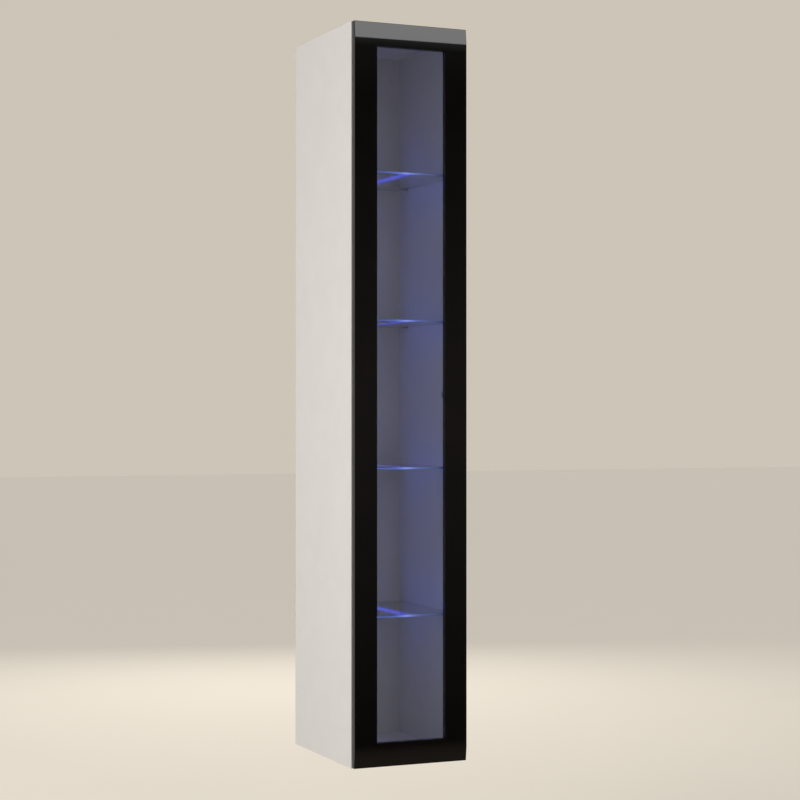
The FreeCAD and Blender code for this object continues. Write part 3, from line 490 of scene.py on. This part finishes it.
class Palette:
    """All the cabinet's materials, each made once."""

    def __init__(self, rear_y: float) -> None:
        """Make the materials.

        Args:
            rear_y: place of the boards' bare rear edges.
        """
        self.board = MelamineFinish(raw_from_y=rear_y - mm(0.3)).build()
        self.back = MelamineFinish(name="white_faced_hardboard", light="#e5e3e0", dark="#e1dfdb",
                                   pearl_mm=1.4).build()
        self.lacquer = LacquerFinish().build()
        # The pane is real glass; its grey tint is painted shade that dims the cabinet's inside, seen and lit
        # through it.
        self.pane = GlassFinish("grey_tinted_glass_painted_shade", tint="#dfe1e4").build()
        self.shelf = GlassFinish("lit_float_glass", tint="#eef9f5", glow=True).build()
        self.edge = GroundEdgeFinish().build()
        self.lens = LensFinish().build()
        self.zinc = MetalFinish(MetalTone.ZINC).build()
        self.nickel = MetalFinish(MetalTone.NICKEL).build()
        self.chrome = MetalFinish(MetalTone.SATIN_CHROME).build()
        self.screw = MetalFinish(MetalTone.SCREW).build()
        self.white_plastic = MouldedFinish("white_moulded_plastic", "#dddcda").build()
        self.grey_plastic = MouldedFinish("grey_moulded_plastic", "#8e8f92", roughness=0.45).build()
        self.clear_rubber = MouldedFinish("clear_polyurethane", "#eef0f0", roughness=0.25,
                                          see_through=0.7).build()
        self.foam = MouldedFinish("black_foam_tape", "#1c1c1d", roughness=0.85, grain_mm=0.9,
                                  relief_mm=0.15).build()
        self.beech = BeechFinish().build()


# ---------------------------------------------------------------- making pieces

SHARP_FROM = 0.05  # radians between two faces from which their edge can be rounded
MERGE = mm(0.0005)  # vertices closer than this become one
SHADED_SHARP_DEG = 50  # edges sharper than this keep a hard shade
BORE_SIDES = 64  # flats round a bore


def block_mesh(low: Vector, high: Vector) -> bmesh.types.BMesh:
    """Make a box between two corners.

    Args:
        low: lowest corner.
        high: highest corner.

    Returns:
        The new bmesh.
    """
    shape = bmesh.new()
    bmesh.ops.create_cube(shape, size=1.0)
    bmesh.ops.scale(shape, vec=high - low, verts=shape.verts)
    bmesh.ops.translate(shape, vec=(low + high) / 2, verts=shape.verts)
    return shape


def slice_at(shape: bmesh.types.BMesh, axis: int, places: Iterable[float]) -> None:
    """Cut edges round a shape where planes across one axis pass."""
    for place in places:
        normal = Vector([float(index == axis) for index in range(3)])
        geometry = list(shape.verts) + list(shape.edges) + list(shape.faces)
        bmesh.ops.bisect_plane(shape, geom=geometry, plane_co=normal * place, plane_no=normal, dist=mm(0.001))


def soften(shape: bmesh.types.BMesh, radius: float, wanted: Callable[[bmesh.types.BMEdge], bool],
           segments: int = 3) -> None:
    """Round the sharp edges that pass a test.

    Args:
        shape: the bmesh.
        radius: the rounding.
        wanted: test for an edge.
        segments: flats across each rounding.
    """
    edges = [edge for edge in shape.edges
             if len(edge.link_faces) == 2 and edge.calc_face_angle(0.0) > SHARP_FROM and wanted(edge)]
    bmesh.ops.bevel(shape, geom=edges, offset=radius, offset_type="OFFSET", affect="EDGES", segments=segments,
                    profile=0.5, material=-1, clamp_overlap=True)


def any_edge(edge: bmesh.types.BMEdge) -> bool:
    """Accept every edge."""
    return edge.is_valid


def cut_away(shape: bmesh.types.BMesh, cutter: bmesh.types.BMesh) -> bmesh.types.BMesh:
    """Cut one closed shape out of another.

    Args:
        shape: the shape that is cut, which is freed.
        cutter: the shape that is taken away, which is freed.

    Returns:
        What is left.
    """
    parts = []
    for name, source in (("cut_body", shape), ("cut_tool", cutter)):
        bmesh.ops.recalc_face_normals(source, faces=source.faces)
        mesh = bpy.data.meshes.new(name)
        source.to_mesh(mesh)
        source.free()
        parts.append(bpy.data.objects.new(name, mesh))
        bpy.context.scene.collection.objects.link(parts[-1])
    cut = parts[0].modifiers.new("cut", "BOOLEAN")
    cut.operation = "DIFFERENCE"
    cut.solver = "EXACT"
    cut.object = parts[1]
    evaluated = parts[0].evaluated_get(bpy.context.evaluated_depsgraph_get())
    result = bmesh.new()
    result.from_mesh(evaluated.to_mesh())
    evaluated.to_mesh_clear()
    for part in parts:
        mesh = part.data
        bpy.data.objects.remove(part)
        bpy.data.meshes.remove(mesh)
    return result


def make_piece(shape: bmesh.types.BMesh, name: str, body: str, materials: Iterable[bpy.types.Material],
               replaces: Iterable[str] = ()) -> bpy.types.Object:
    """Turn a bmesh into a finished piece that rides on a body.

    Args:
        shape: the bmesh, which is freed.
        name: the piece's name.
        body: the CAD body it rides on.
        materials: its materials, in the order of its faces' numbers.
        replaces: CAD nodes it stands for.

    Returns:
        The new object.
    """
    bmesh.ops.remove_doubles(shape, verts=shape.verts, dist=MERGE)
    bmesh.ops.recalc_face_normals(shape, faces=shape.faces)
    for face in shape.faces:
        face.smooth = True
    mesh = bpy.data.meshes.new(name)
    shape.to_mesh(mesh)
    shape.free()
    mesh.set_sharp_from_angle(angle=math.radians(SHADED_SHARP_DEG))
    for material in materials:
        mesh.materials.append(material)
    piece = bpy.data.objects.new(name, mesh)
    bpy.context.scene.collection.objects.link(piece)
    normals = piece.modifiers.new("flat_faces_stay_flat", "WEIGHTED_NORMAL")
    normals.keep_sharp = True
    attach(piece, body)
    if replaces:
        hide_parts(*replaces)
    log.info("%s: %d faces on %s", name, len(mesh.polygons), body)
    return piece


def dress(nodes: Iterable[str], material: bpy.types.Material) -> None:
    """Give carried-over CAD nodes their finish."""
    for node in nodes:
        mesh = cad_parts[node].data
        mesh.materials.clear()
        mesh.materials.append(material)
        log.info("%s: dressed in %s", node, material.name)


# ---------------------------------------------------------------- the cabinet


@dataclass
class Carcass:
    """The white body: two side boards, top, bottom and back, with their joining fittings."""

    palette: Palette
    edge_radius: float = mm(0.8)

    def build(self) -> None:
        """Build the side boards and dress the rest."""
        for side in ("left", "right"):
            self.build_side(side)
        dress(("top_panel", "bottom_panel"), self.palette.board)
        dress(("back_panel",), self.palette.back)
        dress(("cam_locks", "cam_bolts"), self.palette.zinc)
        dress(("cam_caps", "access_covers"), self.palette.white_plastic)
        dress(("dowels",), self.palette.beech)

    def build_side(self, side: str) -> bpy.types.Object:
        """Build one side board with rounded banded edges and a square rear edge.

        Args:
            side: left or right.

        Returns:
            The side board.
        """
        node = f"side_panel_{side}"
        low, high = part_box(node)
        shape = block_mesh(low, high)
        soften(shape, self.edge_radius, lambda edge: any(v.co.y < high.y - NEAR for v in edge.verts))
        return make_piece(shape, f"side_board_{side}", "cabinet", [self.palette.board], [node])


@dataclass
class Shelving:
    """Four glass shelves on spade pins with clear pads."""

    palette: Palette
    count: int = 4
    arris: float = mm(0.7)

    def build(self) -> None:
        """Build the shelves and dress their supports."""
        for number in range(1, self.count + 1):
            self.build_shelf(number)
        dress(("shelf_pins",), self.palette.zinc)
        dress(("shelf_pads",), self.palette.clear_rubber)

    def build_shelf(self, number: int) -> bpy.types.Object:
        """Build one shelf whose ground edges carry their own finish.

        Args:
            number: the shelf's number from the bottom.

        Returns:
            The shelf.
        """
        node = f"glass_shelf_{number}"
        low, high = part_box(node)
        shape = block_mesh(low, high)
        soften(shape, self.arris, any_edge, segments=2)
        shape.normal_update()
        for face in shape.faces:
            face.material_index = int(abs(face.normal.z) < 0.9)
        return make_piece(shape, f"lit_shelf_{number}", "cabinet", [self.palette.shelf, self.palette.edge],
                          [node])


@dataclass
class ShelfLights:
    """A light clip at the middle of each shelf's rear edge, with its lens and its lamp."""

    palette: Palette
    count: int = 4
    lamp_power: float = 0.04
    lamp_colour: str = "#6a7cff"
    lamp_width: float = mm(40)
    lamp_height: float = mm(3)
    lamp_gap: float = mm(1)
    lamp_ahead: float = mm(2)
    lamp_tilts_deg: tuple[float, float] = (100, 80)

    def build(self) -> None:
        """Build the lenses and lamps and dress the clips."""
        dress([f"light_clip_{number}" for number in range(1, self.count + 1)], self.palette.chrome)
        dress(("clip_screws",), self.palette.screw)
        dress(("cable_grommets", "light_distributor"), self.palette.white_plastic)
        dress(("distributor_pad",), self.palette.foam)
        dress(("light_modules",), self.palette.lens)
        for number in range(1, self.count + 1):
            self.build_lamps(number)

    def build_lamps(self, number: int) -> None:
        """Hang a small blue lamp above and below one clip's mouth.

        Args:
            number: the clip's number from the bottom.
        """
        low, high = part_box(f"light_clip_{number}")
        for height, tilt in zip((high.z + self.lamp_gap, low.z - self.lamp_gap), self.lamp_tilts_deg):
            data = bpy.data.lights.new(f"shelf_lamp_{number}", "AREA")
            data.shape = "RECTANGLE"
            data.size = self.lamp_width
            data.size_y = self.lamp_height
            data.energy = self.lamp_power
            data.color = hex_colour(self.lamp_colour)[:3]
            lamp = bpy.data.objects.new(f"shelf_lamp_{number}", data)
            lamp.location = ((low.x + high.x) / 2, low.y + self.lamp_ahead, height)
            lamp.rotation_euler = Euler((math.radians(-tilt), 0, 0))
            bpy.context.scene.collection.objects.link(lamp)


@dataclass
class Door:
    """The gloss black frame with its sloped top and bottom bands, its pane and their fixings."""

    palette: Palette
    border: float = mm(60)
    band: float = mm(34)
    band_back: float = mm(4)
    rebate: float = mm(8)
    rebate_depth: float = mm(4.5)
    outer_round: float = mm(1.2)
    outline_angle_deg: float = 60
    window_round: float = mm(0.7)
    pane_arris: float = mm(0.5)
    cup_radius: float = mm(17.5)
    cup_depth: float = mm(11.6)
    cup_inset: float = mm(24)
    cup_end: float = mm(110)
    cup_count: int = 4

    def build(self) -> None:
        """Build the frame and pane and dress the small fittings."""
        self.build_frame()
        self.build_pane()
        dress(("pane_tape",), self.palette.foam)
        dress(("pane_clips", "strike_plate"), self.palette.nickel)
        dress(("pane_clip_screws", "strike_screws"), self.palette.screw)
        dress(("door_bumpers",), self.palette.clear_rubber)

    def build_frame(self) -> bpy.types.Object:
        """Build the frame from a slab: window cut through, rebate behind, bands sloped back.

        Returns:
            The frame.
        """
        low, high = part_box("door_frame")
        box_low, box_high = CAD_BOX
        window_x = (box_low.x + self.border, box_high.x - self.border)
        window_z = (box_low.z + self.border, box_high.z - self.border)
        shape = block_mesh(low, high)
        slice_at(shape, 0, window_x)
        slice_at(shape, 2, window_z)
        centre = Vector((sum(window_x) / 2, 0, sum(window_z) / 2))
        holes = [face for face in shape.faces if abs(face.normal.y) > 0.9
                 and window_x[0] < face.calc_center_median().x < window_x[1]
                 and window_z[0] < face.calc_center_median().z < window_z[1]]
        bmesh.ops.delete(shape, geom=holes, context="FACES")
        rim = [edge for edge in shape.edges if edge.is_boundary and edge.verts[0].co.y > low.y + NEAR]
        for vert in {v for edge in rim for v in edge.verts}:
            vert.co.x += math.copysign(self.rebate, vert.co.x - centre.x)
            vert.co.z += math.copysign(self.rebate, vert.co.z - centre.z)
        step = bmesh.ops.extrude_edge_only(shape, edges=rim)["geom"]
        corners = {item for item in step if isinstance(item, bmesh.types.BMVert)}
        ring = [item for item in step
                if isinstance(item, bmesh.types.BMEdge) and all(v in corners for v in item.verts)]
        bmesh.ops.translate(shape, vec=(0, -self.rebate_depth, 0), verts=list(corners))
        step = bmesh.ops.extrude_edge_only(shape, edges=ring)["geom"]
        inner = {item for item in step if isinstance(item, bmesh.types.BMVert)}
        for vert in inner:
            vert.co.x -= math.copysign(self.rebate, vert.co.x - centre.x)
            vert.co.z -= math.copysign(self.rebate, vert.co.z - centre.z)
        loops = [edge for edge in shape.edges if edge.is_boundary]
        bmesh.ops.bridge_loops(shape, edges=loops)
        slice_at(shape, 2, (low.z + self.band, high.z - self.band))
        for vert in shape.verts:
            at_end = vert.co.z < low.z + NEAR or vert.co.z > high.z - NEAR
            if at_end and vert.co.y < low.y + NEAR:
                vert.co.y += self.band_back
        bmesh.ops.recalc_face_normals(shape, faces=shape.faces)
        soften(shape, self.window_round, lambda edge: self.beside_window(edge, centre, window_x, window_z),
               segments=3)
        soften(shape, self.outer_round, lambda edge: self.on_outline(edge, low, high), segments=4)
        shape = cut_away(shape, self.cup_bores(low, high))
        return make_piece(shape, "door_frame_lacquered", "door", [self.palette.lacquer], ["door_frame"])

    def cup_bores(self, low: Vector, high: Vector) -> bmesh.types.BMesh:
        """Make the hinge cups' bores as round plugs to cut out of the frame's back.

        Args:
            low: lowest corner of the frame; not used.
            high: highest corner of the frame.

        Returns:
            The plugs.
        """
        plugs = bmesh.new()
        first, last = CAD_BOX[0].z + self.cup_end, CAD_BOX[1].z - self.cup_end
        deep = self.cup_depth * 2
        for number in range(self.cup_count):
            height = first + (last - first) * number / (self.cup_count - 1)
            place = Matrix.Translation((CAD_BOX[0].x + self.cup_inset, high.y, height))
            bmesh.ops.create_cone(plugs, cap_ends=True, cap_tris=False, segments=BORE_SIDES,
                                  radius1=self.cup_radius, radius2=self.cup_radius, depth=deep,
                                  matrix=place @ Matrix.Rotation(math.radians(90), 4, "X"))
        return plugs

    def beside_window(self, edge: bmesh.types.BMEdge, centre: Vector, window_x: tuple[float, float],
                      window_z: tuple[float, float]) -> bool:
        """Tell whether an edge is on the front rim of the window."""
        return all(v.co.y < CAD_BOX[0].y + NEAR
                   and abs(v.co.x - centre.x) < window_x[1] - centre.x + NEAR
                   and abs(v.co.z - centre.z) < window_z[1] - centre.z + NEAR for v in edge.verts)

    def on_outline(self, edge: bmesh.types.BMEdge, low: Vector, high: Vector) -> bool:
        """Tell whether an edge runs round the frame's outer front or back outline."""
        outside = all(v.co.x < low.x + NEAR or v.co.x > high.x - NEAR
                      or v.co.z < low.z + NEAR or v.co.z > high.z - NEAR for v in edge.verts)
        return outside and edge.calc_face_angle(0.0) > math.radians(self.outline_angle_deg)

    def build_pane(self) -> bpy.types.Object:
        """Build the pane with its ground arrises.

        Returns:
            The pane.
        """
        low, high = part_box("door_pane")
        shape = block_mesh(low, high)
        soften(shape, self.pane_arris, any_edge, segments=1)
        return make_piece(shape, "door_pane_clear", "door", [self.palette.pane], ["door_pane"])


@dataclass
class Hardware:
    """Hinges, push latch and hanging gear, all carried over from the CAD frame."""

    palette: Palette

    def build(self) -> None:
        """Dress every fitting."""
        nickel = ["hinge_cups", "hinge_arms", "hinge_outer_links", "hinge_inner_links", "hinge_arm_pivots",
                  "hinge_cup_pivots", "latch_magnet"]
        zinc = ["hinge_plates", "wall_rail", "hanger_hook_left", "hanger_hook_right", "hanger_adjuster_left",
                "hanger_adjuster_right"]
        screws = ["hinge_arm_screws", "hinge_cup_screws", "hinge_plate_screws", "latch_spring", "latch_screws",
                  "hanger_screws"]
        dress(nickel, self.palette.nickel)
        dress(zinc, self.palette.zinc)
        dress(screws, self.palette.screw)
        dress(("latch_housing", "latch_plunger"), self.palette.grey_plastic)
        dress(("hanger_housing_left", "hanger_housing_right"), self.palette.white_plastic)


# ---------------------------------------------------------------- studio


def seen_directly(tree: bpy.types.NodeTree) -> bpy.types.NodeSocket:
    """Give one for a surface seen straight or through glass, and zero where it only lights or reflects."""
    rays = add_node(tree, "ShaderNodeLightPath").outputs
    return math_node(tree, "MAXIMUM", rays["Is Camera Ray"], rays["Is Transmission Ray"])


@dataclass(frozen=True)
class SoftBox:
    """One soft studio light: where it stands, what it points at, its size and power."""

    name: str
    place: tuple[float, float, float]
    target: tuple[float, float, float]
    size: tuple[float, float]
    power: float
    colour: str = "#ffffff"
    gloss_only: bool = False

    def build(self) -> bpy.types.Object:
        """Hang the light.

        Returns:
            The light.
        """
        data = bpy.data.lights.new(self.name, "AREA")
        data.shape = "RECTANGLE"
        data.size, data.size_y = self.size
        data.energy = self.power
        data.color = hex_colour(self.colour)[:3]
        light = bpy.data.objects.new(self.name, data)
        light.location = self.place
        light.rotation_mode = "QUATERNION"
        light.rotation_quaternion = (Vector(self.target) - Vector(self.place)).to_track_quat("-Z", "Y")
        light.visible_camera = False
        light.visible_diffuse = not self.gloss_only
        light.visible_transmission = not self.gloss_only
        light.visible_glossy = self.gloss_only
        bpy.context.scene.collection.objects.link(light)
        return light


@dataclass
class Studio:
    """Pale floor, pale surroundings, soft lights and the camera."""

    eye: tuple[float, float, float] = (-1.926, -4.539, 0.860)
    turn_deg: float = -23.6
    tilt_deg: float = 0.32
    lens_mm: float = 88.0
    sensor_mm: float = 36.0
    floor_drop: float = 0.32
    floor_half: float = 30.0
    floor_tones: tuple[str, str] = ("#d9d3c8", "#d3cdc2")
    floor_mottle_mm: float = 400.0
    floor_lift: float = 0.62
    wall_colour: str = "#cdc5b7"
    fill_colour: str = "#e8e6e4"
    fill_strength: float = 0.28
    behind_colour: str = "#b8b6b2"
    reflected: tuple[tuple[float, str], ...] = (
        (0.0, "#7a7062"), (0.33, "#7a7062"), (0.41, "#1d1b19"), (0.5, "#6c655f"), (0.58, "#302e2c"),
        (0.66, "#a0a0a0"), (1.0, "#d8d8d8"))
    lights: tuple[SoftBox, ...] = (
        SoftBox("key_from_left", (-3.2, -1.0, 1.15), (0.0, 0.0, 1.0), (1.9, 1.9), 72.0, "#fffbf7"),
        SoftBox("fill_from_front", (0.6, -5.0, 2.2), (0.0, 0.0, 0.9), (2.4, 2.4), 16.0, "#fffaf4"),
        SoftBox("fill_from_behind", (1.2, 4.0, 2.2), (0.0, 0.2, 0.9), (2.4, 2.4), 60.0, "#fffaf4"),
        SoftBox("ceiling_card", (1.93, -4.21, 3.85), (0.0, -0.2, 1.78), (2.6, 1.5), 47.0, "#ffffff", True),
    )

    def build(self) -> None:
        """Build the floor, the surroundings, the lights and the camera."""
        self.build_floor()
        self.build_world()
        for box in self.lights:
            box.build()
        self.build_camera()
        bpy.context.scene.view_settings.view_transform = "Standard"

    def build_floor(self) -> bpy.types.Object:
        """Lay a plain pale floor below the hanging cabinet.

        Returns:
            The floor.
        """
        material, tree, place = new_material("pale_floor")
        colour = blend_colour(tree, noise(tree, place, self.floor_mottle_mm),
                              *(hex_colour(tone) for tone in self.floor_tones))
        shader = add_node(tree, "ShaderNodeBsdfPrincipled", inputs={"Base Color": colour, "Roughness": 0.7})
        lift = add_node(tree, "ShaderNodeEmission", inputs={
            "Color": hex_colour(self.wall_colour), "Strength": self.floor_lift})
        lifted = add_node(tree, "ShaderNodeAddShader", inputs={
            0: shader.outputs["BSDF"], 1: lift.outputs["Emission"]})
        both = add_node(tree, "ShaderNodeMixShader", inputs={
            0: seen_directly(tree), 1: shader.outputs["BSDF"], 2: lifted.outputs["Shader"]})
        wire_surface(tree, both.outputs["Shader"])
        shape = bmesh.new()
        bmesh.ops.create_grid(shape, x_segments=2, y_segments=2, size=self.floor_half)
        bmesh.ops.translate(shape, vec=(0, 0, CAD_BOX[0].z - self.floor_drop), verts=shape.verts)
        mesh = bpy.data.meshes.new("floor")
        shape.to_mesh(mesh)
        shape.free()
        mesh.materials.append(material)
        floor = bpy.data.objects.new("floor", mesh)
        bpy.context.scene.collection.objects.link(floor)
        floor.visible_glossy = False
        return floor

    def build_world(self) -> None:
        """Surround the cabinet with a pale wall tone, a soft fill and a banded room for reflections."""
        world = bpy.data.worlds.new("studio")
        bpy.context.scene.world = world
        world.use_nodes = True
        tree = world.node_tree
        tree.nodes.clear()
        direction = add_node(tree, "ShaderNodeTexCoord").outputs["Generated"]
        parts = add_node(tree, "ShaderNodeSeparateXYZ", inputs={"Vector": direction})
        scaled = add_node(tree, "ShaderNodeMapRange", inputs={
            "Value": parts.outputs["Z"], "From Min": -1.0, "From Max": 1.0})
        ramp = colour_ramp(tree, scaled.outputs["Result"], self.reflected)
        behind = add_node(tree, "ShaderNodeMapRange", inputs={
            "Value": parts.outputs["Y"], "From Min": 0.0, "From Max": 0.4}).outputs["Result"]
        around = blend_colour(tree, behind, ramp, hex_colour(self.behind_colour))
        rays = add_node(tree, "ShaderNodeLightPath")
        fill = add_node(tree, "ShaderNodeBackground", inputs={
            "Color": hex_colour(self.fill_colour), "Strength": self.fill_strength})
        gloss = add_node(tree, "ShaderNodeBackground", inputs={"Color": around, "Strength": 1.0})
        wall = add_node(tree, "ShaderNodeBackground", inputs={
            "Color": hex_colour(self.wall_colour), "Strength": 1.0})
        lit = add_node(tree, "ShaderNodeMixShader", inputs={
            0: rays.outputs["Is Glossy Ray"], 1: fill.outputs["Background"], 2: gloss.outputs["Background"]})
        seen = add_node(tree, "ShaderNodeMixShader", inputs={
            0: seen_directly(tree), 1: lit.outputs["Shader"], 2: wall.outputs["Background"]})
        add_node(tree, "ShaderNodeOutputWorld", inputs={"Surface": seen.outputs["Shader"]})

    def build_camera(self) -> None:
        """Set up the camera left of the cabinet's front, at its middle height."""
        data = bpy.data.cameras.new("camera")
        data.lens = self.lens_mm
        data.sensor_width = self.sensor_mm
        data.clip_end = 100.0
        camera = bpy.data.objects.new("camera", data)
        camera.location = self.eye
        camera.rotation_euler = Euler((math.radians(90 + self.tilt_deg), 0, math.radians(self.turn_deg)))
        bpy.context.scene.collection.objects.link(camera)
        bpy.context.scene.camera = camera


def main() -> None:
    """Build the cabinet's sub-assemblies in order, then the studio."""
    logging.basicConfig(level=logging.INFO, format="%(message)s")
    palette = Palette(rear_y=CAD_BOX[1].y)
    for assembly in (Carcass(palette), Shelving(palette), ShelfLights(palette), Door(palette), Hardware(palette),
                     Studio()):
        log.info("== %s", type(assembly).__name__)
        assembly.build()


if __name__ == "__main__":
    main()
